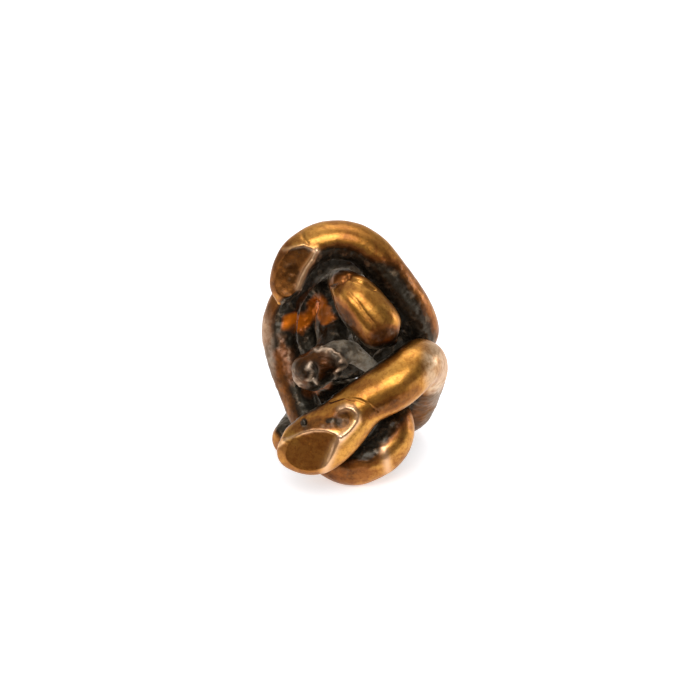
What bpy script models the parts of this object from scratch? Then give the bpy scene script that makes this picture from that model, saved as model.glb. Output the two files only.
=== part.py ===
"""A hand puzzle of three bronze serpent rings, coiled through one another.

Each serpent is one casting: a rod that thickens and thins along its length, bent into an open
ring, with a broad flat head at one end and a pointed tail at the other. The upright serpent is
an open oval whose tail runs on behind its head, the lower serpent is hooked round its lower
coil, and the inner serpent is wound up inside the two. Nothing fastens them together.

Metres, +Z up. X runs across the puzzle, Y away from the heads, and the feet stand on Z = 0.
"""

import bmesh
import bpy
import numpy as np
from mathutils import Matrix, Vector

MM = 0.001
SIDES = 16  # facets round a body
SECTION_STEP = 1.3  # mm along the body from one section to the next
SLAB_WIDTH = 60.0  # mm across the slab that cuts the feet flat, wider than the puzzle
SLAB_DEPTH = 4.0  # mm from the table down to the slab's underside
HEAD_FACING = Vector((0.0, -0.9063, 0.4226))  # the way that the broad side of each head faces

# The middle of each body from snout to tail, in mm: x, y, z, half width, thickness over width.
UPRIGHT_ROUTE = (
    (-10.6, -0.1, 25.2, 0.6, 0.80),
    (-10.3, 0.2, 26.3, 1.7, 0.80),
    (-9.6, 1.1, 28.6, 2.55, 0.80),
    (-8.3, 2.2, 31.0, 2.9, 0.85),
    (-6.3, 3.3, 32.5, 2.9, 0.95),
    (-3.7, 4.0, 33.3, 2.9, 1.0),
    (-0.6, 4.2, 33.0, 2.9, 1.0),
    (2.0, 4.0, 31.6, 2.85, 1.0),
    (4.7, 3.5, 28.5, 2.9, 1.0),
    (7.2, 3.5, 24.6, 2.95, 1.0),
    (9.3, 4.2, 20.0, 2.95, 1.0),
    (9.0, 5.4, 16.6, 2.7, 1.0),
    (5.3, 4.8, 13.8, 2.3, 1.0),
    (3.6, 3.0, 11.3, 2.4, 1.0),
    (4.2, -0.4, 9.5, 2.7, 1.0),
    (5.5, -3.7, 8.0, 3.05, 1.0),
    (5.3, -6.0, 6.0, 3.2, 1.0),
    (2.8, -7.3, 3.9, 3.25, 1.0),
    (-1.2, -7.5, 3.1, 3.25, 1.0),
    (-4.7, -5.3, 4.4, 2.9, 1.0),
    (-6.9, -1.4, 7.4, 2.6, 1.0),
    (-8.9, 1.9, 11.1, 2.55, 1.0),
    (-10.6, 4.5, 15.5, 2.6, 1.0),
    (-10.8, 6.6, 19.7, 2.6, 1.0),
    (-9.2, 8.5, 23.1, 2.3, 1.0),
    (-6.7, 9.9, 25.5, 2.1, 1.0),
    (-3.7, 10.7, 26.7, 2.0, 1.0),
    (-0.3, 10.8, 27.0, 1.9, 1.0),
    (2.6, 10.2, 26.1, 1.5, 1.0),
    (4.3, 9.5, 25.0, 0.9, 1.0),
    (4.9, 9.3, 24.5, 0.35, 1.0),
)
LOWER_ROUTE = (
    (-10.5, -11.7, 7.1, 0.8, 0.75),
    (-10.0, -12.0, 7.2, 2.2, 0.75),
    (-8.4, -12.3, 7.6, 3.6, 0.72),
    (-5.7, -12.4, 8.6, 4.4, 0.72),
    (-2.1, -11.4, 10.9, 4.05, 0.78),
    (1.1, -9.7, 13.6, 3.55, 0.9),
    (4.3, -8.5, 15.2, 3.7, 1.0),
    (6.9, -7.2, 16.6, 3.7, 1.0),
    (9.1, -4.8, 17.5, 3.6, 1.0),
    (10.2, -1.9, 15.9, 3.35, 1.0),
    (10.2, 0.2, 12.7, 3.05, 1.0),
    (9.7, 2.7, 10.0, 3.05, 1.0),
    (8.8, 5.1, 6.6, 3.2, 1.0),
    (7.2, 7.7, 3.8, 3.25, 1.0),
    (4.0, 10.3, 3.0, 3.3, 1.0),
    (-0.6, 11.6, 3.2, 3.4, 1.0),
    (-5.3, 8.9, 3.2, 3.3, 1.0),
    (-8.8, 3.3, 2.5, 2.75, 1.0),
    (-10.2, -0.2, 2.6, 2.0, 1.0),
    (-10.6, -1.0, 2.6, 0.7, 1.0),
)
INNER_ROUTE = (
    (5.4, -3.9, 20.7, 0.9, 0.95),
    (4.7, -3.8, 21.5, 2.55, 0.95),
    (4.0, -3.5, 22.3, 3.2, 0.95),
    (2.9, -3.1, 23.7, 3.5, 0.95),
    (1.1, -2.3, 25.7, 3.5, 0.95),
    (-0.1, -1.5, 27.0, 3.2, 1.0),
    (-1.3, 0.3, 27.8, 2.4, 1.0),
    (-1.9, 3.1, 27.1, 1.95, 1.0),
    (-1.2, 5.9, 25.1, 2.05, 1.0),
    (1.8, 9.0, 21.2, 2.25, 1.0),
    (3.6, 11.3, 16.8, 3.0, 1.0),
    (2.6, 11.4, 12.9, 3.0, 1.0),
    (-0.9, 11.3, 10.8, 3.0, 1.0),
    (-5.4, 11.2, 11.3, 2.95, 1.0),
    (-7.3, 12.1, 14.5, 2.75, 1.0),
    (-7.6, 13.0, 17.8, 2.55, 1.0),
    (-6.7, 13.5, 20.6, 2.25, 1.0),
    (-4.8, 12.4, 22.0, 2.05, 1.0),
    (-3.2, 10.5, 21.0, 2.1, 1.0),
    (-3.0, 7.9, 18.4, 2.75, 1.0),
    (-2.8, 4.6, 16.1, 2.8, 1.0),
    (-4.4, 1.2, 15.0, 2.7, 1.0),
    (-6.0, -2.0, 15.2, 2.75, 1.0),
    (-5.9, -4.4, 16.4, 2.75, 1.0),
    (-3.7, -4.6, 18.0, 2.45, 1.0),
    (-1.2, -3.0, 18.7, 1.8, 1.0),
    (1.3, -2.4, 17.0, 1.3, 1.0),
    (3.3, -1.8, 14.8, 0.95, 1.0),
    (4.0, -1.6, 13.9, 0.45, 1.0),
)

# Hollows worn or ground into the heads, in mm: the cutting ball's middle and its radius.
UPRIGHT_HOLLOWS = (((-12.6, -9.2, 33.4), 10.2),)
LOWER_HOLLOWS = (
    ((-9.9, -28.4, 9.6), 14.0),
    ((-1.2, -14.7, 14.8), 2.3),
)

# Joints: the lower serpent swings about a vertical line beside its head, and the inner one
# rocks about a line that runs straight back through its coil.
LOWER_PIVOT = (-5.6, -7.7, 0.0)
INNER_PIVOT = (-1.6, 0.0, 20.4)


def clear_scene():
    for obj in list(bpy.data.objects):
        bpy.data.objects.remove(obj, do_unlink=True)


def make_collection(name):
    collection = bpy.data.collections.new(name)
    bpy.context.scene.collection.children.link(collection)
    return collection


def smooth_route(route):
    """The natural cubic spline through a route's points, read at even steps, in metres."""
    points = np.array(route)
    chords = np.linalg.norm(np.diff(points[:, :3], axis=0), axis=1)
    knots = np.concatenate(([0.0], np.cumsum(np.sqrt(chords))))
    spans = np.diff(knots)[:, None]
    last = len(points) - 1
    matrix = np.eye(last + 1)
    bends = np.zeros_like(points)
    for i in range(1, last):
        before, after = spans[i - 1, 0], spans[i, 0]
        matrix[i, i - 1 : i + 2] = before, 2.0 * (before + after), after
        bends[i] = 6.0 * ((points[i + 1] - points[i]) / after - (points[i] - points[i - 1]) / before)
    bends = np.linalg.solve(matrix, bends)
    count = int(round(chords.sum() / SECTION_STEP)) + 1
    along = np.linspace(0.0, knots[-1], count)
    k = np.clip(np.searchsorted(knots, along) - 1, 0, last - 1)
    past = (along - knots[k])[:, None]
    left = (knots[k + 1] - along)[:, None]
    span = spans[k]
    curved = (bends[k] * left**3 + bends[k + 1] * past**3) / (6.0 * span)
    straight = (points[k] / span - bends[k] * span / 6.0) * left
    straight += (points[k + 1] / span - bends[k + 1] * span / 6.0) * past
    read = curved + straight
    read[:, :4] *= MM
    return read


def carried_normals(middles):
    """One sideways direction for each section, carried along the body without twisting."""
    tangents = [(middles[min(i + 1, len(middles) - 1)] - middles[max(i - 1, 0)]).normalized()
                for i in range(len(middles))]
    normal = tangents[0].orthogonal().normalized()
    normals = []
    for tangent in tangents:
        normal = (normal - tangent * normal.dot(tangent)).normalized()
        normals.append(normal)
    return tangents, normals


def serpent_mesh(name, route):
    """A loft from section to section: round along the body, broad and flat at the head."""
    sections = smooth_route(route)
    middles = [Vector(row[:3]) for row in sections]
    tangents, normals = carried_normals(middles)
    mesh = bmesh.new()
    rings = []
    for middle, tangent, normal, row in zip(middles, tangents, normals, sections):
        side = tangent.cross(normal)
        ring = []
        for step in range(SIDES):
            angle = 2.0 * np.pi * step / SIDES
            offset = (normal * np.cos(angle) + side * np.sin(angle)) * row[3]
            offset -= HEAD_FACING * offset.dot(HEAD_FACING) * (1.0 - row[4])
            ring.append(mesh.verts.new(middle + offset))
        rings.append(ring)
    for ring, following in zip(rings, rings[1:]):
        for i in range(SIDES):
            j = (i + 1) % SIDES
            mesh.faces.new((ring[i], ring[j], following[j], following[i]))
    mesh.faces.new(reversed(rings[0]))
    mesh.faces.new(rings[-1])
    bmesh.ops.recalc_face_normals(mesh, faces=mesh.faces)
    data = bpy.data.meshes.new(name)
    mesh.to_mesh(data)
    mesh.free()
    return data


def ball_cutter(name, middle, radius, collection):
    mesh = bmesh.new()
    bmesh.ops.create_icosphere(mesh, subdivisions=4, radius=radius * MM)
    data = bpy.data.meshes.new(name)
    mesh.to_mesh(data)
    mesh.free()
    return place_cutter(name, data, Vector(middle) * MM, collection)


def foot_cutter(name, collection):
    """A slab under the table: what it takes off leaves the flat feet."""
    mesh = bmesh.new()
    bmesh.ops.create_cube(mesh, size=1.0)
    bmesh.ops.scale(mesh, vec=(SLAB_WIDTH * MM, SLAB_WIDTH * MM, SLAB_DEPTH * MM), verts=mesh.verts)
    data = bpy.data.meshes.new(name)
    mesh.to_mesh(data)
    mesh.free()
    return place_cutter(name, data, Vector((0.0, 0.0, -0.5 * SLAB_DEPTH * MM)), collection)


def place_cutter(name, data, location, collection):
    obj = bpy.data.objects.new(name, data)
    obj.location = location
    obj.hide_render = True
    obj.display_type = "WIRE"
    collection.objects.link(obj)
    return obj


def cut(obj, cutter):
    modifier = obj.modifiers.new(cutter.name, "BOOLEAN")
    modifier.operation = "DIFFERENCE"
    modifier.object = cutter


def bronze(name, colour, roughness):
    material = bpy.data.materials.new(name)
    material.use_nodes = True
    shader = material.node_tree.nodes["Principled BSDF"]
    shader.inputs["Base Color"].default_value = (*colour, 1.0)
    shader.inputs["Roughness"].default_value = roughness
    shader.inputs["Metallic"].default_value = 1.0
    return material


def serpent(name, route, hollows, pivot, material, parts, cutters):
    """One casting, with its origin on its joint's axis and its cutters left as modifiers."""
    data = serpent_mesh(name, route)
    origin = Vector(pivot) * MM
    data.transform(Matrix.Translation(-origin))
    data.materials.append(material)
    data.shade_smooth()
    obj = bpy.data.objects.new(name, data)
    obj.location = origin
    parts.objects.link(obj)
    for i, (middle, radius) in enumerate(hollows):
        cut(obj, ball_cutter(f"{name}_hollow_{i}", middle, radius, cutters))
    return obj


def build():
    clear_scene()
    parts = make_collection("serpent_ring_puzzle")
    cutters = make_collection("cutters")
    golden = bronze("golden_bronze", (0.46, 0.25, 0.08), 0.30)
    brown = bronze("brown_bronze", (0.38, 0.19, 0.06), 0.34)
    dark = bronze("dark_bronze", (0.30, 0.17, 0.08), 0.38)
    upright = serpent(
        "upright_serpent_ring", UPRIGHT_ROUTE, UPRIGHT_HOLLOWS, (0.0, 0.0, 0.0), brown, parts, cutters
    )
    lower = serpent(
        "lower_serpent_ring", LOWER_ROUTE, LOWER_HOLLOWS, LOWER_PIVOT, golden, parts, cutters
    )
    serpent("inner_serpent_ring", INNER_ROUTE, (), INNER_PIVOT, dark, parts, cutters)
    foot = foot_cutter("table_slab", cutters)
    for standing in (upright, lower):
        cut(standing, foot)


build()
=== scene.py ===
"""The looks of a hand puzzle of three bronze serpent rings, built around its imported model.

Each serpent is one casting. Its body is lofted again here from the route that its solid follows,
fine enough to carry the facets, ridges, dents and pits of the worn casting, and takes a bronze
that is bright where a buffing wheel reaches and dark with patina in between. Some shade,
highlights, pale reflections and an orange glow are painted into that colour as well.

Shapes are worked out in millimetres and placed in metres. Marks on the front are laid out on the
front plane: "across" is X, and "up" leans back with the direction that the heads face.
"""

import bpy
import numpy as np
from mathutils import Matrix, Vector
from mathutils.bvhtree import BVHTree


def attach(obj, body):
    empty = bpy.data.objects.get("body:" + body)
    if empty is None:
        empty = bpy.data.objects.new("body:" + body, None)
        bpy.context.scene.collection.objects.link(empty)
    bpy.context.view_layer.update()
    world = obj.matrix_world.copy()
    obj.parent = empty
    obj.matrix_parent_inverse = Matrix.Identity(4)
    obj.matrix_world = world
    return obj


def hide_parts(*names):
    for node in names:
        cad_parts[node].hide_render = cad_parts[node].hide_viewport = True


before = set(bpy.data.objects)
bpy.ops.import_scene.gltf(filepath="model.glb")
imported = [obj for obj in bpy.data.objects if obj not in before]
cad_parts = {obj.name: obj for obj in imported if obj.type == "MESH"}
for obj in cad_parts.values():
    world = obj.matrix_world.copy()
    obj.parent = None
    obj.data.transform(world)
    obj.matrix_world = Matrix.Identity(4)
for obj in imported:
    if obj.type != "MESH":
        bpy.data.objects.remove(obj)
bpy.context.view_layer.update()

MM = 0.001
LEAN = np.radians(25.0)  # how far the front plane leans back, and how steeply the camera looks down
FACING = np.array((0.0, -np.cos(LEAN), np.sin(LEAN)))  # the way that the broad heads face
UP = np.array((0.0, np.sin(LEAN), np.cos(LEAN)))  # up along the front plane

# The middle of each body from snout to tail, in mm: x, y, z, half width, thickness over width.
UPRIGHT_ROUTE = (
    (-10.6, -0.1, 25.2, 0.6, 0.80),
    (-10.3, 0.2, 26.3, 1.7, 0.80),
    (-9.6, 1.1, 28.6, 2.55, 0.80),
    (-8.3, 2.2, 31.0, 2.9, 0.85),
    (-6.3, 3.3, 32.5, 2.9, 0.95),
    (-3.7, 4.0, 33.3, 2.9, 1.0),
    (-0.6, 4.2, 33.0, 2.9, 1.0),
    (2.0, 4.0, 31.6, 2.85, 1.0),
    (4.7, 3.5, 28.5, 2.9, 1.0),
    (7.2, 3.5, 24.6, 2.95, 1.0),
    (9.3, 4.2, 20.0, 2.95, 1.0),
    (9.0, 5.4, 16.6, 2.7, 1.0),
    (5.3, 4.8, 13.8, 2.3, 1.0),
    (3.6, 3.0, 11.3, 2.4, 1.0),
    (4.2, -0.4, 9.5, 2.7, 1.0),
    (5.5, -3.7, 8.0, 3.05, 1.0),
    (5.3, -6.0, 6.0, 3.2, 1.0),
    (2.8, -7.3, 3.9, 3.25, 1.0),
    (-1.2, -7.5, 3.1, 3.25, 1.0),
    (-4.7, -5.3, 4.4, 2.9, 1.0),
    (-6.9, -1.4, 7.4, 2.6, 1.0),
    (-8.9, 1.9, 11.1, 2.55, 1.0),
    (-10.6, 4.5, 15.5, 2.6, 1.0),
    (-10.8, 6.6, 19.7, 2.6, 1.0),
    (-9.2, 8.5, 23.1, 2.3, 1.0),
    (-6.7, 9.9, 25.5, 2.1, 1.0),
    (-3.7, 10.7, 26.7, 2.0, 1.0),
    (-0.3, 10.8, 27.0, 1.9, 1.0),
    (2.6, 10.2, 26.1, 1.5, 1.0),
    (4.3, 9.5, 25.0, 0.9, 1.0),
    (4.9, 9.3, 24.5, 0.35, 1.0),
)
LOWER_ROUTE = (
    (-10.5, -11.7, 7.1, 0.8, 0.75),
    (-10.0, -12.0, 7.2, 2.2, 0.75),
    (-8.4, -12.3, 7.6, 3.6, 0.72),
    (-5.7, -12.4, 8.6, 4.4, 0.72),
    (-2.1, -11.4, 10.9, 4.05, 0.78),
    (1.1, -9.7, 13.6, 3.55, 0.9),
    (4.3, -8.5, 15.2, 3.7, 1.0),
    (6.9, -7.2, 16.6, 3.7, 1.0),
    (9.1, -4.8, 17.5, 3.6, 1.0),
    (10.2, -1.9, 15.9, 3.35, 1.0),
    (10.2, 0.2, 12.7, 3.05, 1.0),
    (9.7, 2.7, 10.0, 3.05, 1.0),
    (8.8, 5.1, 6.6, 3.2, 1.0),
    (7.2, 7.7, 3.8, 3.25, 1.0),
    (4.0, 10.3, 3.0, 3.3, 1.0),
    (-0.6, 11.6, 3.2, 3.4, 1.0),
    (-5.3, 8.9, 3.2, 3.3, 1.0),
    (-8.8, 3.3, 2.5, 2.75, 1.0),
    (-10.2, -0.2, 2.6, 2.0, 1.0),
    (-10.6, -1.0, 2.6, 0.7, 1.0),
)
INNER_ROUTE = (
    (5.4, -3.9, 20.7, 0.9, 0.95),
    (4.7, -3.8, 21.5, 2.55, 0.95),
    (4.0, -3.5, 22.3, 3.2, 0.95),
    (2.9, -3.1, 23.7, 3.5, 0.95),
    (1.1, -2.3, 25.7, 3.5, 0.95),
    (-0.1, -1.5, 27.0, 3.2, 1.0),
    (-1.3, 0.3, 27.8, 2.4, 1.0),
    (-1.9, 3.1, 27.1, 1.95, 1.0),
    (-1.2, 5.9, 25.1, 2.05, 1.0),
    (1.8, 9.0, 21.2, 2.25, 1.0),
    (3.6, 11.3, 16.8, 3.0, 1.0),
    (2.6, 11.4, 12.9, 3.0, 1.0),
    (-0.9, 11.3, 10.8, 3.0, 1.0),
    (-5.4, 11.2, 11.3, 2.95, 1.0),
    (-7.3, 12.1, 14.5, 2.75, 1.0),
    (-7.6, 13.0, 17.8, 2.55, 1.0),
    (-6.7, 13.5, 20.6, 2.25, 1.0),
    (-4.8, 12.4, 22.0, 2.05, 1.0),
    (-3.2, 10.5, 21.0, 2.1, 1.0),
    (-3.0, 7.9, 18.4, 2.75, 1.0),
    (-2.8, 4.6, 16.1, 2.8, 1.0),
    (-4.4, 1.2, 15.0, 2.7, 1.0),
    (-6.0, -2.0, 15.2, 2.75, 1.0),
    (-5.9, -4.4, 16.4, 2.75, 1.0),
    (-3.7, -4.6, 18.0, 2.45, 1.0),
    (-1.2, -3.0, 18.7, 1.8, 1.0),
    (1.3, -2.4, 17.0, 1.3, 1.0),
    (3.3, -1.8, 14.8, 0.95, 1.0),
    (4.0, -1.6, 13.9, 0.45, 1.0),
)

STATIONS = 700  # sections along each body
SIDES = 124  # points round each section
ROUTE_READS = 20  # reads of the route for each section, to measure its length
CAP_RINGS = 5  # sections that round off each end
CAP_LENGTH = 0.7  # how far an end is rounded out, over its half width
THINNEST = 0.01  # mm, the half width at the very tip of an end
FACE_RADIUS = 40.0  # mm, how slightly the worn faces are hollowed
MIDDLE = np.array((-0.5, 1.5, 16.0))  # the middle of the puzzle

FRONT_EDGE = 0.35  # marks reach their full strength where a surface faces the front this squarely
SPAN_FADE = 0.02  # share of the body's length in which a mark fades out past its span
PATCH_EDGE = (1.35, 0.55)  # where a patch ends and where it is full, over its radii

NOISE_SEED = 11
CRUST_HEIGHT = 0.12  # mm, the lumps where no wheel has reached

# How open a spot is to the outside, tested with rays on coarser grids.
WALL_STEPS = (6, 5)  # along and round the bodies that stop the rays
SPOT_STEPS = (4, 4)  # along and round the spots that send them out
RAYS = 28
RAY_START = 0.3  # mm off the surface
RAY_LENGTH = 12.0  # mm

# A wheel polishes a spot by how open it is, and by how far it faces away from the middle.
OPEN_RANGE = (0.25, 0.80)
OUTWARD_RANGE = (-0.20, 0.35)

# Where the depths between the bodies are painted with a glow of orange light: strength, centre,
# radii and tilt.
GLOW_DEPTHS = (7.5, 5.0)  # mm towards the front, from no painted glow to the full painted glow
GLOWS = (
    (1.0, (-8.2, 20.2), (2.3, 1.1), 0.30),
    (0.8, (-5.8, 22.4), (1.1, 1.7), -0.3),
    (0.5, (-4.2, 21.0), (1.3, 0.9), -0.5),
    (0.45, (-5.6, 10.4), (2.2, 1.2), 0.5),
    (0.16, (-10.2, 14.5), (1.3, 3.6), 0.15),
)

# Each body's slot, and its colours where it is well polished and where it is half polished.
LOOKS = {
    "upright": ("brown_bronze", (0.66, 0.315, 0.060), (0.34, 0.125, 0.026)),
    "lower": ("golden_bronze", (0.70, 0.340, 0.062), (0.38, 0.148, 0.027)),
    "inner": ("dark_bronze", (0.68, 0.325, 0.060), (0.34, 0.120, 0.026)),
}

# Colours that all three share.
DUST_GREY = (0.075, 0.066, 0.050)  # in the deepest corners
PATINA_BLACK = (0.042, 0.027, 0.015)
DULL_SHARE = 0.35  # the darker brown between patina and brown, as a share of the brown
SHEEN_GREY = (0.80, 0.74, 0.62)  # a painted pale sheen on some edges, standing in for reflections
FLECK_GREY = (0.30, 0.23, 0.16)  # specks in the patina
RUBBED_AND_HIGHLIGHT_METAL = (0.95, 0.60, 0.36)  # edges that are rubbed bright, and a painted highlight streak on the upright's coil
# the painted glow of orange light deep between the bodies
GLOW_ORANGE = (1.0, 0.24, 0.004)
CLOUD_BROWN = (0.84, 0.74, 0.64)  # multiplies the colour in broad clouds
MOTTLE_BROWN = (0.76, 0.68, 0.60)  # multiplies it in fine spots
EDGE_TINT = (0.85, 0.74, 0.62)  # what the metal reflects at a glancing angle
WHITE = (1.0, 1.0, 1.0)

# The bronze's patterns: lumps per metre, detail and roughness.
BLOTCHES = (420.0, 6.0, 0.55)
GRAIN = (4200.0, 4.0, 0.65)
CLOUDS = (150.0, 3.0, 0.55)
SPECKS = (800.0, 5.0, 0.55)
MOTTLE = (1700.0, 5.0, 0.7)
PITS_PER_METRE = 1300.0
COAT_WEIGHT, COAT_ROUGHNESS = 0.25, 0.2  # the wax
BUMP_STRENGTH, BUMP_HEIGHT = 0.35, 0.00012

# Studio, in metres: the lights' places, targets, sizes and radiance.
LIGHTS = {
    "key": ((0.0, -0.28, 0.30), (0.0, 0.0, 0.015), (0.28, 0.19), 4.1),
    "top": ((0.05, 0.12, 0.40), (0.0, 0.0, 0.015), (0.26, 0.18), 1.6),
    "side": ((0.34, 0.13, 0.07), (0.0, 0.0, 0.02), (0.10, 0.10), 4.0),
}
# Broad lobes of the room's light, in degrees: azimuth (0 is the front), elevation, the angle to
# which the lobe is even and the angle past which it has gone.
BACK_LOBE = (175.0, 25.0, 40.0, 100.0)
BACK_LIGHT, FRONT_LIGHT = 0.85, 0.50
DARK_GAPS = (  # each lobe with the share of light that it leaves
    ((0.0, 5.0, 20.0, 44.0), 0.18),
    ((68.0, 26.0, 14.0, 36.0), 0.25),
    ((128.0, 25.0, 14.0, 34.0), 0.45),
    ((-118.0, 30.0, 14.0, 34.0), 0.45),
)
FLOOR_HALF = 3.0
FLOOR_COLOUR = (0.90, 0.90, 0.93)
FLOOR_LIGHT = 0.55  # keeps the floor pale where the lights fall off
CARD_HALF = 0.060
CARD_NEAR, CARD_AWAY = -0.034, -0.055  # Y of the fold's two sides
CARD_LOW, CARD_TOP = 0.0004, 0.030
CARD_COLOUR = (0.17, 0.14, 0.12)
VIEW_WIDTH = 0.1015  # what the picture spans at the target
VIEW_TARGET = (-0.00063, -0.00169, 0.0184)
LENS = 180.0  # mm
SENSOR = 36.0  # mm

# ---------------------------------------------------------------- the bodies' smooth shape


def spline(route, count):
    """The natural cubic spline through a route's points, read at even distances along it."""
    points = np.array(route)
    chords = np.linalg.norm(np.diff(points[:, :3], axis=0), axis=1)
    knots = np.concatenate(([0.0], np.cumsum(np.sqrt(chords))))
    spans = np.diff(knots)[:, None]
    last = len(points) - 1
    matrix = np.eye(last + 1)
    bends = np.zeros_like(points)
    for i in range(1, last):
        before, after = spans[i - 1, 0], spans[i, 0]
        matrix[i, i - 1 : i + 2] = before, 2.0 * (before + after), after
        rise = (points[i + 1] - points[i]) / after - (points[i] - points[i - 1]) / before
        bends[i] = 6.0 * rise
    bends = np.linalg.solve(matrix, bends)

    def read(along):
        k = np.clip(np.searchsorted(knots, along) - 1, 0, last - 1)
        past = (along - knots[k])[:, None]
        left = (knots[k + 1] - along)[:, None]
        span = spans[k]
        value = (bends[k] * left**3 + bends[k + 1] * past**3) / (6.0 * span)
        value += (points[k] / span - bends[k] * span / 6.0) * left
        return value + (points[k + 1] / span - bends[k + 1] * span / 6.0) * past

    along = np.linspace(0.0, knots[-1], ROUTE_READS * count)
    fine = read(along)
    steps = np.linalg.norm(np.diff(fine[:, :3], axis=0), axis=1)
    distance = np.concatenate(([0.0], np.cumsum(steps)))
    return read(np.interp(np.linspace(0.0, distance[-1], count), distance, along))


def unit(vectors):
    """The vectors with their lengths brought to 1."""
    return vectors / np.maximum(np.linalg.norm(vectors, axis=-1, keepdims=True), 1e-12)


def carried_sides(tangents):
    """Two sideways directions for each section, carried along the body without twisting."""
    normal = np.cross(tangents[0], (0.0, 0.0, 1.0))
    normals = []
    for tangent in tangents:
        normal = normal - tangent * normal.dot(tangent)
        normal = normal / np.linalg.norm(normal)
        normals.append(normal)
    normals = np.array(normals)
    return normals, np.cross(tangents, normals)


def body_grid(route, stations, sides):
    """Points of a body's surface as a grid, one row for each section, its ends rounded off."""
    rows = spline(route, stations)
    tangents = unit(np.gradient(rows[:, :3], axis=0))
    turn = np.linspace(0.5 * np.pi, 0.0, CAP_RINGS, endpoint=False)
    widths = rows[:, 3]
    middles = [rows[0, :3] - tangents[0] * widths[0] * CAP_LENGTH * np.sin(t) for t in turn]
    middles += list(rows[:, :3])
    middles += [
        rows[-1, :3] + tangents[-1] * widths[-1] * CAP_LENGTH * np.sin(t) for t in turn[::-1]
    ]
    start = np.maximum(widths[0] * np.cos(turn), THINNEST)
    end = np.maximum(widths[-1] * np.cos(turn[::-1]), THINNEST)
    widths = np.concatenate((start, widths, end))
    tangents = np.concatenate(
        (np.repeat(tangents[:1], CAP_RINGS, 0), tangents, np.repeat(tangents[-1:], CAP_RINGS, 0))
    )
    flat = rows[:, 4]
    flat = np.concatenate((np.repeat(flat[:1], CAP_RINGS), flat, np.repeat(flat[-1:], CAP_RINGS)))
    first, second = carried_sides(tangents)
    angle = np.linspace(0.0, 2.0 * np.pi, sides, endpoint=False)[None, :, None]
    offset = first[:, None] * np.cos(angle) + second[:, None] * np.sin(angle)
    offset = offset * widths[:, None, None]
    towards = offset @ FACING
    offset -= FACING * (towards * (1.0 - flat[:, None]))[..., None]
    return np.array(middles)[:, None] + offset


def grid_normals(grid):
    """The outward direction at each point of a body's grid."""
    along = np.gradient(grid, axis=0)
    around = np.roll(grid, -1, axis=1) - np.roll(grid, 1, axis=1)
    normals = unit(np.cross(around, along))
    middles = grid.mean(axis=1, keepdims=True)
    inwards = ((grid - middles) * normals).sum(-1).mean() < 0.0
    return -normals if inwards else normals


# ---------------------------------------------------------------- marks on the surface


def smooth(low, high, value):
    """0 up to low, 1 from high on, and an even ease between them. low may be the greater."""
    share = np.clip((value - low) / (high - low), 0.0, 1.0)
    return share * share * (3.0 - 2.0 * share)


class Lattice:
    """Smooth noise from -1 to 1, from random values on a grid that repeats."""

    SIZE = 32

    def __init__(self, seed):
        self.values = np.random.default_rng(seed).uniform(-1.0, 1.0, (self.SIZE,) * 3)

    def read(self, points, scale):
        """The noise at points, with scale in lumps per mm.

        Each use shifts its points by its own amount, so that no two uses agree.
        """
        place = points * scale
        cell = np.floor(place).astype(int)
        share = place - cell
        share = share * share * (3.0 - 2.0 * share)
        total = 0.0
        for corner in np.ndindex(2, 2, 2):
            index = (cell + corner) % self.SIZE
            weight = np.prod(np.where(corner, share, 1.0 - share), axis=-1)
            total = total + weight * self.values[index[..., 0], index[..., 1], index[..., 2]]
        return total


def line_distance(line, across, up):
    """Distance on the front plane from each point to a line of straight runs."""
    nearest = np.full(across.shape, 1e9)
    for (x0, y0), (x1, y1) in zip(line, line[1:]):
        dx, dy = x1 - x0, y1 - y0
        share = ((across - x0) * dx + (up - y0) * dy) / (dx * dx + dy * dy)
        share = np.clip(share, 0.0, 1.0)
        gap = np.hypot(across - x0 - share * dx, up - y0 - share * dy)
        nearest = np.minimum(nearest, gap)
    return nearest


def inside_depth(outline, across, up):
    """How far inside an outline each point is, and less than 0 outside it."""
    inside = np.zeros(across.shape, bool)
    closed = list(outline) + [outline[0]]
    for (x0, y0), (x1, y1) in zip(closed, closed[1:]):
        if y0 == y1:
            continue
        crosses = (y0 > up) != (y1 > up)
        inside ^= crosses & (across < (x1 - x0) * (up - y0) / (y1 - y0) + x0)
    return np.where(inside, 1.0, -1.0) * line_distance(closed, across, up)


def ellipse(across, up, centre, radii, tilt):
    """1 at the middle of an ellipse on the front plane, falling to 0 past its edge."""
    across, up = across - centre[0], up - centre[1]
    c, s = np.cos(tilt), np.sin(tilt)
    share = np.hypot((across * c + up * s) / radii[0], (up * c - across * s) / radii[1])
    return smooth(*PATCH_EDGE, share)


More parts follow.
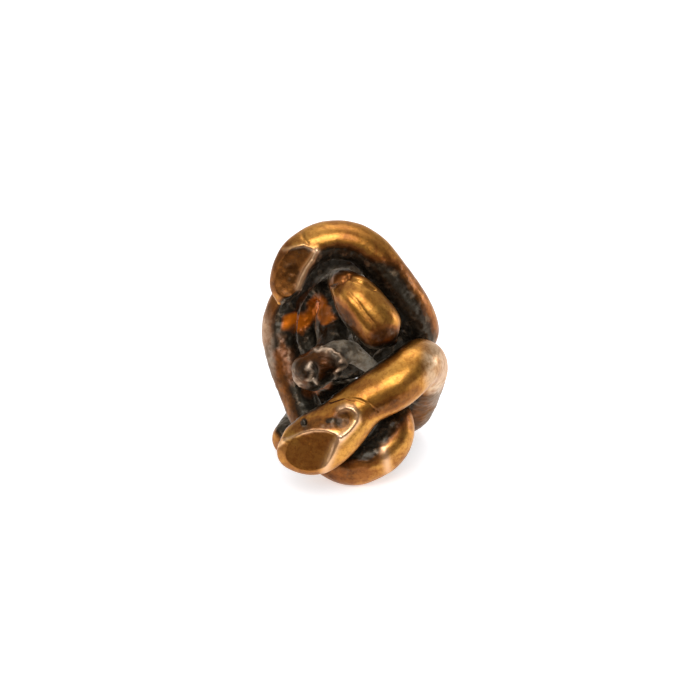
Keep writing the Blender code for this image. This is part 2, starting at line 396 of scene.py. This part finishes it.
class Surface:
    """A body's grid while its marks are worked into it.

    share is how far along the body each point is. tone is the share of its polish that it keeps,
    and in a few patches paints shade. The rubbed value is metal rubbed bright, and on one streak a
    painted highlight. The sheen value is a painted pale sheen that stands in for reflections. sunk
    is how much further out a side must face before a wheel brightens it.
    """

    def __init__(self, route):
        self.grid = body_grid(route, STATIONS, SIDES)
        count = len(self.grid)
        self.share = np.repeat(np.linspace(0.0, 1.0, count)[:, None], SIDES, axis=1)
        self.rubbed_and_highlight = np.zeros(self.share.shape)
        self.tone = np.ones(self.share.shape)
        self.painted_sheen = np.zeros(self.share.shape)
        self.sunk = np.zeros(self.share.shape)
        self.renew()

    def renew(self):
        """Reads again from the grid what the marks go by."""
        self.normals = grid_normals(self.grid)
        self.across = self.grid[..., 0]
        self.up = self.grid @ UP
        self.front = smooth(0.0, FRONT_EDGE, self.normals @ FACING)

    def stretch(self, span):
        """1 on the stretch of body between two shares of its length."""
        low, high = span
        started = smooth(low - SPAN_FADE, low, self.share)
        return started * smooth(high + SPAN_FADE, high, self.share)

    def reach(self, span):
        """1 on the front of a stretch of body."""
        return self.front * self.stretch(span)

    def push(self, height):
        """Moves the surface outwards by a height in mm for each point."""
        self.grid = self.grid + self.normals * height[..., None]
        self.renew()

    def stroke(self, line, width, height, span, rough=0.0, noise=None, rubbed_and_highlight=0.0, painted_sheen=0.0):
        """A ridge, or a groove where height is below 0, along a line on the front.

        rough is how far the line wanders in mm. The rubbed value rubs the mark bright, which on one
        streak is a painted highlight, and the sheen value paints a pale sheen on it.
        """
        across, up = self.across, self.up
        if rough:
            across = across + rough * noise.read(self.grid + 7.0, 1.6)
            up = up + rough * noise.read(self.grid + 19.0, 1.6)
        shape = np.exp(-((line_distance(line, across, up) / width) ** 2)) * self.reach(span)
        self.rubbed_and_highlight = self.rubbed_and_highlight + rubbed_and_highlight * shape
        self.painted_sheen = np.maximum(self.painted_sheen, painted_sheen * shape)
        self.push(height * shape)

    def dish(self, centre, radii, height, span, front_only=True):
        """A round dent, or a swelling where height is above 0."""
        share = np.hypot((self.across - centre[0]) / radii[0], (self.up - centre[1]) / radii[1])
        shape = np.clip(1.0 - share * share, 0.0, 1.0) ** 1.5
        self.push(height * shape * (self.reach(span) if front_only else self.stretch(span)))

    def darken_patch(self, centre, radii, tilt, tone, span):
        """A patch on the front left at a share, tone, of the polish round it: patina in some
        places, painted shade in others.
        """
        patch = ellipse(self.across, self.up, centre, radii, tilt) * self.reach(span)
        self.tone = self.tone * (1.0 - (1.0 - tone) * patch)

    def facet(self, outline, centre, slope, edge, span, tone):
        """A nearly flat face worn inside an outline on the front.

        centre is across, up and towards the front. slope is how much the face falls for each mm
        across and up. What stands proud of the face is taken down, which leaves a crisp edge.
        """
        facing_out = unit(np.array((slope[0], 0.0, 0.0)) + slope[1] * UP + FACING)
        middle = np.array((centre[0], 0.0, 0.0)) + centre[1] * UP + centre[2] * FACING
        ball = middle + facing_out * FACE_RADIUS
        offset = self.grid - ball
        depth = np.clip(FACE_RADIUS - np.linalg.norm(offset, axis=-1), 0.0, None)
        mask = smooth(-edge, edge, inside_depth(outline, self.across, self.up)) * self.reach(span)
        self.grid = self.grid + unit(offset) * (depth * mask)[..., None]
        self.tone = self.tone * (1.0 - (1.0 - tone) * mask)
        self.renew()

    def shade(self, span, tone, painted_sheen=0.0, sunk=0.0):
        """Leaves a stretch of the body, all round, at a share of its polish and under a painted
        pale sheen.
        """
        low, high = span
        inside = smooth(low - 0.03, low + 0.01, self.share)
        inside = inside * smooth(high + 0.03, high - 0.01, self.share)
        self.tone = self.tone * (1.0 - inside * (1.0 - tone))
        self.painted_sheen = np.maximum(self.painted_sheen, painted_sheen * inside)
        self.sunk = np.maximum(self.sunk, sunk * inside)

    def paint_edge_sheen(self, centre, radii, tilt, strength):
        """A painted pale sheen on the front inside an ellipse, over whatever part of the body is
        there.
        """
        patch = ellipse(self.across, self.up, centre, radii, tilt)
        self.painted_sheen = np.maximum(self.painted_sheen, strength * patch * self.front)

    def crust(self, noise, polish):
        """The rough, lumpy surface of the corners that no wheel has reached."""
        lumps = noise.read(self.grid + 41.0, 0.9) + 0.6 * noise.read(self.grid + 63.0, 2.1)
        self.push(CRUST_HEIGHT * lumps * (1.0 - polish))

    def stand(self):
        """Wears flat what would reach below the table."""
        self.grid[..., 2] = np.maximum(self.grid[..., 2], 0.0)
        self.renew()


def weathered(surface, noise, lumps, grain):
    """Uneven casting: broad waves and a fine grain, both in mm, which fade out at the ends."""
    points = surface.grid
    broad = noise.read(points, 0.22) + 0.5 * noise.read(points + 31.0, 0.5)
    fine = noise.read(points + 57.0, 1.3) + 0.6 * noise.read(points + 83.0, 2.6)
    ends = smooth(0.0, 0.03, surface.share) * smooth(1.0, 0.97, surface.share)
    surface.push((lumps * broad + grain * fine) * ends)


def upright_surface(noise):
    """The tall serpent: arch, right limb, bottom coil, left limb and tail."""
    head, right_limb = (0.0, 0.2), (0.20, 0.46)
    coil, left_limb, tail = (0.46, 0.66), (0.66, 0.88), (0.88, 1.0)
    surface = Surface(UPRIGHT_ROUTE)
    weathered(surface, noise, 0.10, 0.012)

    # the head's flat face, its rim and the crease over it
    rim = ((-10.1, 30.4), (-8.8, 30.7), (-7.3, 31.0), (-6.6, 30.6), (-5.4, 30.2), (-6.0, 29.0),
           (-6.9, 27.7), (-7.6, 26.3), (-8.0, 24.8), (-8.7, 24.0), (-9.5, 23.4))
    outside = ((-12.5, 24.5), (-14.0, 28.0), (-12.5, 30.2))
    surface.facet(rim + outside, (-9.3, 27.6, 12.6), (0.02, -0.14), 0.20, head, 0.72)
    surface.darken_patch((-8.6, 26.5), (1.1, 1.8), 0.3, 0.7, head)
    surface.stroke(rim[:5], 0.26, 0.10, head, rubbed_and_highlight=0.5)
    surface.stroke(rim[4:9], 0.42, 0.36, head, rubbed_and_highlight=1.0)
    surface.stroke(((-7.7, 33.0), (-7.4, 32.2), (-6.7, 31.2)), 0.26, -0.12, head)

    # a painted pale reflection, a gleam, on the tail where it runs under the arch
    gleam = ((-6.0, 24.4), (-5.6, 25.4), (-4.6, 26.6), (-3.1, 27.5), (-0.3, 27.8), (2.0, 27.2))
    surface.stroke(gleam, 0.60, 0.0, tail, painted_sheen=1.0)

    # a brown patch on the coil, painted shade on the coil's inner side, a painted highlight streak,
    # and a dark patch on the left limb
    surface.darken_patch((-1.6, -1.7), (3.4, 1.7), 0.0, 0.68, (0.5, 0.68))
    surface.darken_patch((1.9, 2.0), (2.3, 2.6), -0.3, 0.3, coil)
    surface.stroke(((4.2, 1.9), (4.6, 0.2), (4.9, -1.6)), 0.55, 0.12, coil, rubbed_and_highlight=0.9)
    surface.darken_patch((-9.7, 15.5), (1.3, 4.8), 0.15, 0.35, left_limb)
    surface.shade((0.48, 0.64), 0.95, sunk=0.05)
    # a painted pale reflection along the left limb's outer edge
    surface.paint_edge_sheen((-12.8, 17.0), (1.1, 6.5), 0.05, 0.35)

    # how dark each stretch is, with a faint painted pale sheen on the tail
    surface.shade((0.0, 0.07), 0.9)
    surface.shade(right_limb, 0.85, sunk=0.58)
    surface.shade((0.64, 0.76), 0.52, sunk=0.1)
    surface.shade((0.76, 0.86), 0.8, sunk=0.2)
    surface.shade((0.86, 1.0), 0.2, 0.1)
    return surface


def lower_surface(noise):
    """The hooked serpent: the dished head, the bend at the right, and the limb behind."""
    head, rear_limb = (0.0, 0.34), (0.73, 0.84)
    surface = Surface(LOWER_ROUTE)
    weathered(surface, noise, 0.10, 0.010)

    # the head's worn face, with the brow above it and the cheek beside it
    brow = ((-10.9, 2.2), (-9.5, 3.3), (-7.5, 4.1), (-5.8, 4.5), (-4.0, 4.5), (-2.7, 4.1),
            (-1.9, 3.5))
    cheek = ((-1.9, 3.5), (-2.7, 2.5), (-3.2, 1.2), (-3.8, -0.3), (-4.2, -1.5))
    outside = ((-5.0, -3.5), (-13.5, -3.5), (-13.5, 1.5))
    surface.facet(brow + cheek[1:] + outside, (-6.7, 1.2, 16.7), (-0.15, -0.22), 0.20, head, 0.82)
    surface.stroke(brow, 0.20, 0.06, head, rubbed_and_highlight=0.8)
    surface.stroke(cheek, 0.60, 0.14, head, rubbed_and_highlight=0.9)

    # the eye socket and its rim
    eye_rim = ((-2.0, 7.5), (-1.2, 7.8), (-0.3, 7.6), (0.4, 6.8), (0.4, 5.9), (-0.3, 4.9),
               (-1.3, 3.9), (-1.9, 3.5))
    surface.dish((-1.6, 6.0), (1.6, 1.9), -0.32, head)
    surface.darken_patch((-1.8, 6.1), (1.3, 1.7), 0.3, 0.5, head)
    surface.darken_patch((-5.2, 5.2), (3.4, 1.2), 0.15, 0.52, head)
    # painted shade in a band along the body below its highlight, where the metal reflects the dark
    # front
    surface.darken_patch((5.2, 8.2), (5.0, 0.9), 0.45, 0.62, head)
    surface.stroke(eye_rim, 0.45, 0.26, head, rubbed_and_highlight=1.0)

    # the pit and the lump over the brow, and the crease behind the head
    surface.dish((-7.2, 5.7), (0.6, 0.7), -0.5, head)
    surface.darken_patch((-7.2, 5.7), (0.45, 0.6), 0.0, 0.1, head)
    surface.dish((-9.9, 3.0), (0.7, 0.6), 0.20, head)
    surface.darken_patch((-3.5, 5.9), (0.7, 0.35), 0.3, 0.3, head)
    crease = ((-3.3, 8.6), (-1.5, 9.1), (0.3, 9.0), (1.5, 8.5), (2.4, 7.9), (3.3, 7.3))
    surface.stroke(crease, 0.16, -0.16, head, 0.15, noise)

    # how dark each stretch is
    surface.shade((0.45, 0.62), 0.5)
    surface.shade((0.62, 0.74), 0.85)
    surface.shade((0.74, 0.85), 0.5)
    surface.shade((0.85, 1.0), 0.85)

    # the swelling that closes the view under the inner serpent, and a painted pale reflection on
    # the bend
    surface.dish((-1.5, 11.2), (4.4, 1.8), 0.55, rear_limb, front_only=False)
    surface.paint_edge_sheen((11.9, 13.2), (2.0, 5.0), 0.1, 0.5)
    return surface


def inner_surface(noise):
    """The wound-up serpent: the capsule-shaped head, the dark coils, the knuckle and the tail."""
    head, knuckle = (0.0, 0.16), (0.70, 0.94)
    surface = Surface(INNER_ROUTE)
    weathered(surface, noise, 0.08, 0.010)

    # the head's flank and seam, painted shade down its left side and over its lower end, and the
    # collar behind it
    seam = ((-0.6, 24.1), (0.5, 22.8), (1.7, 21.2), (2.9, 19.6), (4.0, 18.0))
    flank = ((-1.6, 24.0), (-0.4, 22.3), (0.9, 20.5), (2.2, 18.9))
    surface.stroke(flank, 0.75, 0.22, head)
    surface.stroke(seam, 0.16, -0.10, head, 0.12, noise)
    surface.darken_patch((-2.0, 20.2), (1.9, 5.0), 0.71, 0.45, head)
    surface.darken_patch((5.0, 17.4), (3.4, 1.9), 0.2, 0.5, head)
    surface.dish((-2.1, 26.1), (1.5, 1.2), 0.30, head)
    surface.dish((1.1, 26.0), (2.0, 1.2), 0.30, head)
    surface.stroke(((-3.4, 25.0), (-1.7, 25.6), (-0.7, 26.6)), 0.18, -0.30, head)
    surface.stroke(((-0.6, 26.2), (1.5, 25.4), (3.0, 24.6)), 0.18, -0.30, head)

    # the knuckle: three lumps with a valley between, dark patches, and raised veins with a painted
    # pale sheen on them
    surface.dish((-7.7, 13.4), (1.7, 2.0), 0.6, knuckle)
    surface.dish((-4.2, 13.9), (1.8, 1.3), 0.6, knuckle)
    surface.dish((-2.4, 12.6), (1.0, 1.3), 0.4, knuckle)
    surface.dish((-5.9, 12.6), (0.8, 1.8), -0.6, knuckle)
    surface.darken_patch((-7.5, 13.2), (1.2, 1.5), 0.0, 0.6, knuckle)
    surface.darken_patch((-5.9, 12.6), (0.8, 1.8), 0.0, 0.3, knuckle)
    outer_vein = ((-7.9, 16.0), (-9.0, 15.7), (-9.5, 13.8), (-9.0, 11.9), (-7.9, 10.9))
    loop_vein = ((-6.1, 16.1), (-3.5, 16.0), (-1.9, 15.1), (-1.4, 13.8), (-2.4, 12.8),
                 (-2.9, 11.3), (-4.3, 10.9), (-5.3, 11.6), (-6.4, 11.9), (-6.5, 14.2))
    surface.stroke(outer_vein, 0.26, 0.25, knuckle, 0.3, noise, rubbed_and_highlight=0.3, painted_sheen=0.6)
    surface.stroke(loop_vein, 0.24, 0.25, knuckle, 0.4, noise, rubbed_and_highlight=0.3, painted_sheen=0.6)

    # how dark each stretch is, and a painted pale sheen on the tail
    surface.shade((0.13, 0.66), 0.7)
    surface.shade((0.67, 0.90), 0.42)
    surface.shade((0.90, 1.0), 0.2, 0.75)
    return surface


# ---------------------------------------------------------------- wear, patina and the painted orange glow


def hemisphere(count):
    """Directions spread evenly over a half sphere round +Z, more of them near its top."""
    k = np.arange(count) + 0.5
    height = np.sqrt(1.0 - k / count)
    turn = k * np.pi * (3.0 - np.sqrt(5.0))
    flat = np.sqrt(1.0 - height**2)
    return np.stack((flat * np.cos(turn), flat * np.sin(turn), height), axis=-1)


def reached_by_wheel(surfaces):
    """For each surface, a coarse grid of how open each spot is to the outside, from 0 to 1."""
    verts, faces = [], []
    for surface in surfaces:
        grid = surface.grid[:: WALL_STEPS[0], :: WALL_STEPS[1]]
        base = len(verts)
        rows, columns = grid.shape[:2]
        verts += [Vector(p) for p in grid.reshape(-1, 3)]
        for i in range(rows - 1):
            for j in range(columns):
                a, b = base + i * columns + j, base + i * columns + (j + 1) % columns
                faces.append((a, b, b + columns, a + columns))
    tree = BVHTree.FromPolygons(verts, faces)
    rays = hemisphere(RAYS)
    openings = []
    for surface in surfaces:
        spots = surface.grid[:: SPOT_STEPS[0], :: SPOT_STEPS[1]]
        normals = surface.normals[:: SPOT_STEPS[0], :: SPOT_STEPS[1]]
        opening = np.zeros(spots.shape[:2])
        for i, j in np.ndindex(opening.shape):
            normal = Vector(normals[i, j])
            side = normal.orthogonal().normalized()
            other = normal.cross(side)
            start = Vector(spots[i, j]) + normal * RAY_START
            clear = 0
            for x, y, z in rays:
                hit = tree.ray_cast(start, side * x + other * y + normal * z, RAY_LENGTH)[0]
                clear += hit is None
            opening[i, j] = clear / len(rays)
        openings.append(opening)
    return openings


def spread(coarse, shape):
    """A coarse grid read at the places of a fine one, going round in its second direction."""
    rows = np.linspace(0.0, len(coarse) - 1.0, shape[0])
    low = np.minimum(rows.astype(int), len(coarse) - 2)
    share = (rows - low)[:, None]
    fine = coarse[low] * (1.0 - share) + coarse[low + 1] * share
    columns = np.arange(shape[1]) * coarse.shape[1] / shape[1]
    low = columns.astype(int)
    share = columns - low
    before, after = fine[:, low % coarse.shape[1]], fine[:, (low + 1) % coarse.shape[1]]
    return before * (1.0 - share) + after * share


def facing_away(surface):
    """How squarely each spot faces away from the middle of the puzzle, from -1 to 1."""
    return (surface.normals * unit(surface.grid - MIDDLE)).sum(axis=-1)


def polished(surface, opening):
    """How bright a wheel has made each spot, from 0 to 1, given how open the spots are."""
    outward = facing_away(surface) - surface.sunk
    opened = smooth(*OPEN_RANGE, spread(opening, surface.grid.shape[:2]))
    return opened * smooth(*OUTWARD_RANGE, outward) * surface.tone


def painted_orange_glow(surface, noise):
    """A painted glow of orange light, in ragged patches, on what lies deep between the bodies."""
    across = surface.across + 0.9 * noise.read(surface.grid + 17.0, 0.7)
    up = surface.up + 0.9 * noise.read(surface.grid + 29.0, 0.7)
    glow = sum(strength * ellipse(across, up, *patch) for strength, *patch in GLOWS)
    return np.clip(glow, 0.0, 1.0) * smooth(*GLOW_DEPTHS, surface.grid @ FACING) * surface.front


# ---------------------------------------------------------------- pieces


def add_piece(name, surface, layers, material):
    """The surface as a closed mesh, with the layers as values that its material reads."""
    rows, columns = surface.grid.shape[:2]
    points = (surface.grid * MM).reshape(-1, 3)
    i = np.arange(rows - 1)[:, None]
    j = np.arange(columns)[None, :]
    following = (j + 1) % columns
    this_row, next_row = i * columns, (i + 1) * columns
    quads = np.stack(
        (this_row + j, this_row + following, next_row + following, next_row + j), axis=-1
    ).reshape(-1, 4)
    a, b, c = points[quads[:, 0]], points[quads[:, 1]], points[quads[:, 2]]
    outward = surface.normals.reshape(-1, 3)[quads[:, 0]]
    if (np.cross(b - a, c - b) * outward).sum() < 0.0:
        quads = quads[:, ::-1]
    flipped = quads[0].tolist() != [0, 1, columns + 1, columns]
    ends = [list(range(columns)), list(range((rows - 1) * columns, rows * columns))]
    if flipped:
        ends[1] = ends[1][::-1]
    else:
        ends[0] = ends[0][::-1]
    mesh = bpy.data.meshes.new(name)
    mesh.from_pydata(points.tolist(), [], quads.tolist() + ends)
    mesh.validate()
    for label, values in layers.items():
        attribute = mesh.attributes.new(label, "FLOAT", "POINT")
        attribute.data.foreach_set("value", values.astype(np.float32).ravel())
    mesh.materials.append(material)
    mesh.shade_smooth()
    obj = bpy.data.objects.new(name, mesh)
    bpy.context.scene.collection.objects.link(obj)
    return obj


# ---------------------------------------------------------------- bronze


def node(tree, kind, **settings):
    """A new node with its settings."""
    made = tree.nodes.new(kind)
    for key, value in settings.items():
        setattr(made, key, value)
    return made


def math(tree, operation, first, second, clamp=False):
    """The result of a Math node on two values, each a number or a socket."""
    made = node(tree, "ShaderNodeMath", operation=operation, use_clamp=clamp)
    for socket, value in zip(made.inputs, (first, second)):
        if isinstance(value, (int, float)):
            socket.default_value = value
        else:
            tree.links.new(value, socket)
    return made.outputs[0]


def noise_node(tree, coordinates, pattern):
    """Noise from 0 to 1, from a pattern's scale, detail and roughness."""
    made = node(tree, "ShaderNodeTexNoise")
    for label, value in zip(("Scale", "Detail", "Roughness"), pattern):
        made.inputs[label].default_value = value
    tree.links.new(coordinates, made.inputs["Vector"])
    return made.outputs["Fac"]


def ramp(tree, factor, stops):
    """Eased steps between stops, each a position with a colour or a grey."""
    made = node(tree, "ShaderNodeValToRGB")
    made.color_ramp.interpolation = "EASE"
    elements = made.color_ramp.elements
    while len(elements) < len(stops):
        elements.new(0.5)
    for element, (position, colour) in zip(elements, stops):
        element.position = position
        element.color = (colour,) * 3 + (1.0,) if isinstance(colour, float) else (*colour, 1.0)
    tree.links.new(factor, made.inputs["Fac"])
    return made.outputs["Color"]


def mixed(tree, factor, first, second, blend="MIX"):
    """A mix of two colours, each a colour or a socket."""
    made = node(tree, "ShaderNodeMix", data_type="RGBA", blend_type=blend)
    for label, value in (("Factor", factor), ("A", first), ("B", second)):
        socket = made.inputs[label]
        if isinstance(value, bpy.types.NodeSocket):
            tree.links.new(value, socket)
        else:
            socket.default_value = value if isinstance(value, float) else (*value, 1.0)
    return made.outputs["Result"]


def centred(tree, value, size):
    """A noise value as a change of up to half of size either way."""
    return math(tree, "MULTIPLY", math(tree, "SUBTRACT", value, 0.5), size)


def wear(tree, polish, rubbed_and_highlight, blotches, grain):
    """How bright the metal is, from deep patina at 0 to well-polished metal at 1."""
    worn = math(tree, "ADD", math(tree, "MULTIPLY", polish, 0.88), centred(tree, blotches, 0.65))
    worn = math(tree, "ADD", worn, centred(tree, grain, 0.14))
    return math(tree, "ADD", worn, math(tree, "MULTIPLY", rubbed_and_highlight, 0.6), True)


def patinated(tree, coordinates, worn, sheen_amount, gold, brown):
    """The colour that the wear gives, with the painted pale sheen, specks, clouds and mottling over
    it.
    """
    dull_brown = tuple(DULL_SHARE * c for c in brown)
    colour = ramp(tree, worn, (
        (0.03, DUST_GREY), (0.20, PATINA_BLACK), (0.42, dull_brown), (0.68, brown), (0.97, gold),
    ))
    colour = mixed(tree, sheen_amount, colour, SHEEN_GREY)
    dull = math(tree, "SUBTRACT", 1.0, math(tree, "MULTIPLY", worn, 1.6), True)
    specks = ramp(tree, noise_node(tree, coordinates, SPECKS), ((0.54, 0.0), (0.68, 0.8)))
    colour = mixed(tree, math(tree, "MULTIPLY", specks, dull), colour, FLECK_GREY)
    for pattern, low, high, tint in (
        (CLOUDS, 0.35, 0.62, CLOUD_BROWN),
        (MOTTLE, 0.36, 0.56, MOTTLE_BROWN),
    ):
        tints = ramp(tree, noise_node(tree, coordinates, pattern), ((low, tint), (high, WHITE)))
        colour = mixed(tree, 1.0, colour, tints, "MULTIPLY")
    return colour


def relief(tree, coordinates, blotches, grain):
    """The surface's direction with its blotches, grain and pits."""
    pits = node(tree, "ShaderNodeTexVoronoi")
    pits.inputs["Scale"].default_value = PITS_PER_METRE
    tree.links.new(coordinates, pits.inputs["Vector"])
    hole = ramp(tree, pits.outputs["Distance"], ((0.06, 0.0), (0.16, 1.0)))
    height = math(tree, "MULTIPLY", grain, 0.25)
    height = math(tree, "ADD", height, math(tree, "MULTIPLY", hole, 0.4))
    height = math(tree, "ADD", height, math(tree, "MULTIPLY", blotches, 1.2))
    bump = node(tree, "ShaderNodeBump")
    bump.inputs["Strength"].default_value = BUMP_STRENGTH
    bump.inputs["Distance"].default_value = BUMP_HEIGHT
    tree.links.new(height, bump.inputs["Height"])
    return bump.outputs["Normal"]


def bronze(name, gold, brown):
    """Waxed bronze that runs from bright metal through brown to a dark patina."""
    material = bpy.data.materials.new(name)
    material.use_nodes = True
    tree = material.node_tree
    shader = tree.nodes["Principled BSDF"]
    coordinates = node(tree, "ShaderNodeTexCoord").outputs["Object"]
    polish, glow, rubbed_and_highlight, painted_sheen = (
        node(tree, "ShaderNodeAttribute", attribute_name=label).outputs["Fac"]
        for label in ("polish", "glow", "rubbed_and_highlight", "painted_sheen")
    )
    blotches = noise_node(tree, coordinates, BLOTCHES)
    grain = noise_node(tree, coordinates, GRAIN)
    worn = wear(tree, polish, rubbed_and_highlight, blotches, grain)
    sheen_amount = math(tree, "MULTIPLY", painted_sheen, ramp(tree, blotches, ((0.38, 0.40), (0.58, 1.0))), True)

    colour = patinated(tree, coordinates, worn, sheen_amount, gold, brown)
    colour = mixed(tree, math(tree, "MULTIPLY", rubbed_and_highlight, 0.75, True), colour, RUBBED_AND_HIGHLIGHT_METAL)
    colour = mixed(tree, glow, colour, GLOW_ORANGE)
    tree.links.new(colour, shader.inputs["Base Color"])

    # the painted orange glow and the painted pale sheen hide the metal under them
    metal = math(tree, "SUBTRACT", 1.0, math(tree, "MULTIPLY", glow, 0.5))
    clear = math(tree, "SUBTRACT", 1.0, math(tree, "MULTIPLY", sheen_amount, 0.8))
    tree.links.new(math(tree, "MULTIPLY", metal, clear), shader.inputs["Metallic"])

    roughness = ramp(tree, worn, ((0.0, 0.48), (0.5, 0.42), (1.0, 0.31)))
    roughness = math(tree, "ADD", roughness, centred(tree, grain, 0.12))
    tree.links.new(roughness, shader.inputs["Roughness"])
    shader.inputs["Specular Tint"].default_value = (*EDGE_TINT, 1.0)
    shader.inputs["Coat Weight"].default_value = COAT_WEIGHT
    shader.inputs["Coat Roughness"].default_value = COAT_ROUGHNESS
    tree.links.new(relief(tree, coordinates, blotches, grain), shader.inputs["Normal"])
    return material


# ---------------------------------------------------------------- studio


def add_sheet(name, corners, faces, colour, light=0.0):
    """A matt sheet of the studio, which may glow white."""
    mesh = bpy.data.meshes.new(name)
    mesh.from_pydata(corners, [], faces)
    material = bpy.data.materials.new(name)
    material.use_nodes = True
    shader = material.node_tree.nodes["Principled BSDF"]
    shader.inputs["Base Color"].default_value = (*colour, 1.0)
    shader.inputs["Roughness"].default_value = 0.7
    shader.inputs["Specular IOR Level"].default_value = 0.1
    shader.inputs["Emission Color"].default_value = (*WHITE, 1.0)
    shader.inputs["Emission Strength"].default_value = light
    mesh.materials.append(material)
    sheet = bpy.data.objects.new(name, mesh)
    bpy.context.scene.collection.objects.link(sheet)
    return sheet


def add_floor():
    sides = ((-1, -1), (1, -1), (1, 1), (-1, 1))
    corners = [(FLOOR_HALF * x, FLOOR_HALF * y, 0.0) for x, y in sides]
    add_sheet("floor", corners, [(0, 1, 2, 3)], FLOOR_COLOUR, FLOOR_LIGHT)


def add_black_card():
    """A folded card under the lens, seen only in reflections: it darkens what faces the lens."""
    corners = [
        (side * CARD_HALF, y, z)
        for y, z in ((CARD_NEAR, CARD_LOW), (CARD_AWAY, CARD_LOW), (CARD_AWAY, CARD_TOP))
        for side in (-1, 1)
    ]
    card = add_sheet("black_card", corners, [(0, 1, 3, 2), (2, 3, 5, 4)], CARD_COLOUR)
    card.visible_camera = False
    card.visible_diffuse = False
    card.visible_shadow = False


def direction(azimuth, elevation):
    """The way that points from the middle to an azimuth and elevation in degrees."""
    a, e = np.radians(azimuth), np.radians(elevation)
    return (float(np.sin(a) * np.cos(e)), float(-np.cos(a) * np.cos(e)), float(np.sin(e)))


def lobe(tree, way, shape, middle, outside):
    """A value that is middle inside a lobe and outside past it."""
    azimuth, elevation, inner, outer = shape
    dot = node(tree, "ShaderNodeVectorMath", operation="DOT_PRODUCT")
    tree.links.new(way, dot.inputs[0])
    dot.inputs[1].default_value = direction(azimuth, elevation)
    fade = node(tree, "ShaderNodeMapRange", interpolation_type="SMOOTHSTEP")
    fade.inputs["From Min"].default_value = float(np.cos(np.radians(outer)))
    fade.inputs["From Max"].default_value = float(np.cos(np.radians(inner)))
    fade.inputs["To Min"].default_value = outside
    fade.inputs["To Max"].default_value = middle
    tree.links.new(dot.outputs["Value"], fade.inputs["Value"])
    return fade.outputs[0]


def add_world():
    """A pale room, brighter behind, with dark gaps that give the metal something to reflect."""
    world = bpy.data.worlds.new("room")
    bpy.context.scene.world = world
    world.use_nodes = True
    tree = world.node_tree
    background = tree.nodes["Background"]
    way = node(tree, "ShaderNodeTexCoord").outputs["Generated"]
    light = lobe(tree, way, BACK_LOBE, BACK_LIGHT, FRONT_LIGHT)
    for shape, left in DARK_GAPS:
        light = math(tree, "MULTIPLY", light, lobe(tree, way, shape, left, 1.0))
    tree.links.new(light, background.inputs["Strength"])
    background.inputs["Color"].default_value = (*WHITE, 1.0)


def add_light(name, location, target, size, radiance):
    """A rectangular lamp that faces its target, as bright from anywhere as its radiance."""
    data = bpy.data.lights.new(name, "AREA")
    data.shape = "RECTANGLE"
    data.size, data.size_y = size
    data.energy = radiance * np.pi * size[0] * size[1]
    light = bpy.data.objects.new(name, data)
    light.location = location
    away = Vector(target) - Vector(location)
    light.rotation_euler = away.to_track_quat("-Z", "Y").to_euler()
    bpy.context.scene.collection.objects.link(light)


def add_camera():
    """A long lens that looks squarely at the front plane, with the puzzle in mid frame."""
    data = bpy.data.cameras.new("camera")
    data.lens = LENS
    data.sensor_width = SENSOR
    data.clip_start, data.clip_end = 0.01, 20.0
    camera = bpy.data.objects.new("camera", data)
    camera.location = Vector(VIEW_TARGET) + Vector(FACING) * (VIEW_WIDTH * LENS / SENSOR)
    camera.rotation_euler = (-Vector(FACING)).to_track_quat("-Z", "Y").to_euler()
    bpy.context.scene.collection.objects.link(camera)
    bpy.context.scene.camera = camera


# ---------------------------------------------------------------- the scene


def build():
    bpy.context.scene.view_settings.view_transform = "Standard"
    add_camera()
    add_floor()
    add_black_card()
    add_world()
    for name, settings in LIGHTS.items():
        add_light(name, *settings)
    noise = Lattice(NOISE_SEED)
    surfaces = {
        "upright": upright_surface(noise),
        "lower": lower_surface(noise),
        "inner": inner_surface(noise),
    }
    openings = reached_by_wheel(surfaces.values())
    for (name, surface), opening in zip(surfaces.items(), openings):
        polish = polished(surface, opening)
        surface.crust(noise, polish)
        surface.stand()
        glow = painted_orange_glow(surface, noise)
        layers = {"polish": polish, "glow": glow, "rubbed_and_highlight": surface.rubbed_and_highlight, "painted_sheen": surface.painted_sheen}
        slot, gold, brown = LOOKS[name]
        piece = add_piece(f"{name}_serpent", surface, layers, bronze(f"{name}_bronze", gold, brown))
        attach(piece, f"{name}_ring")
        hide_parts(f"{name}_serpent_ring")


build()
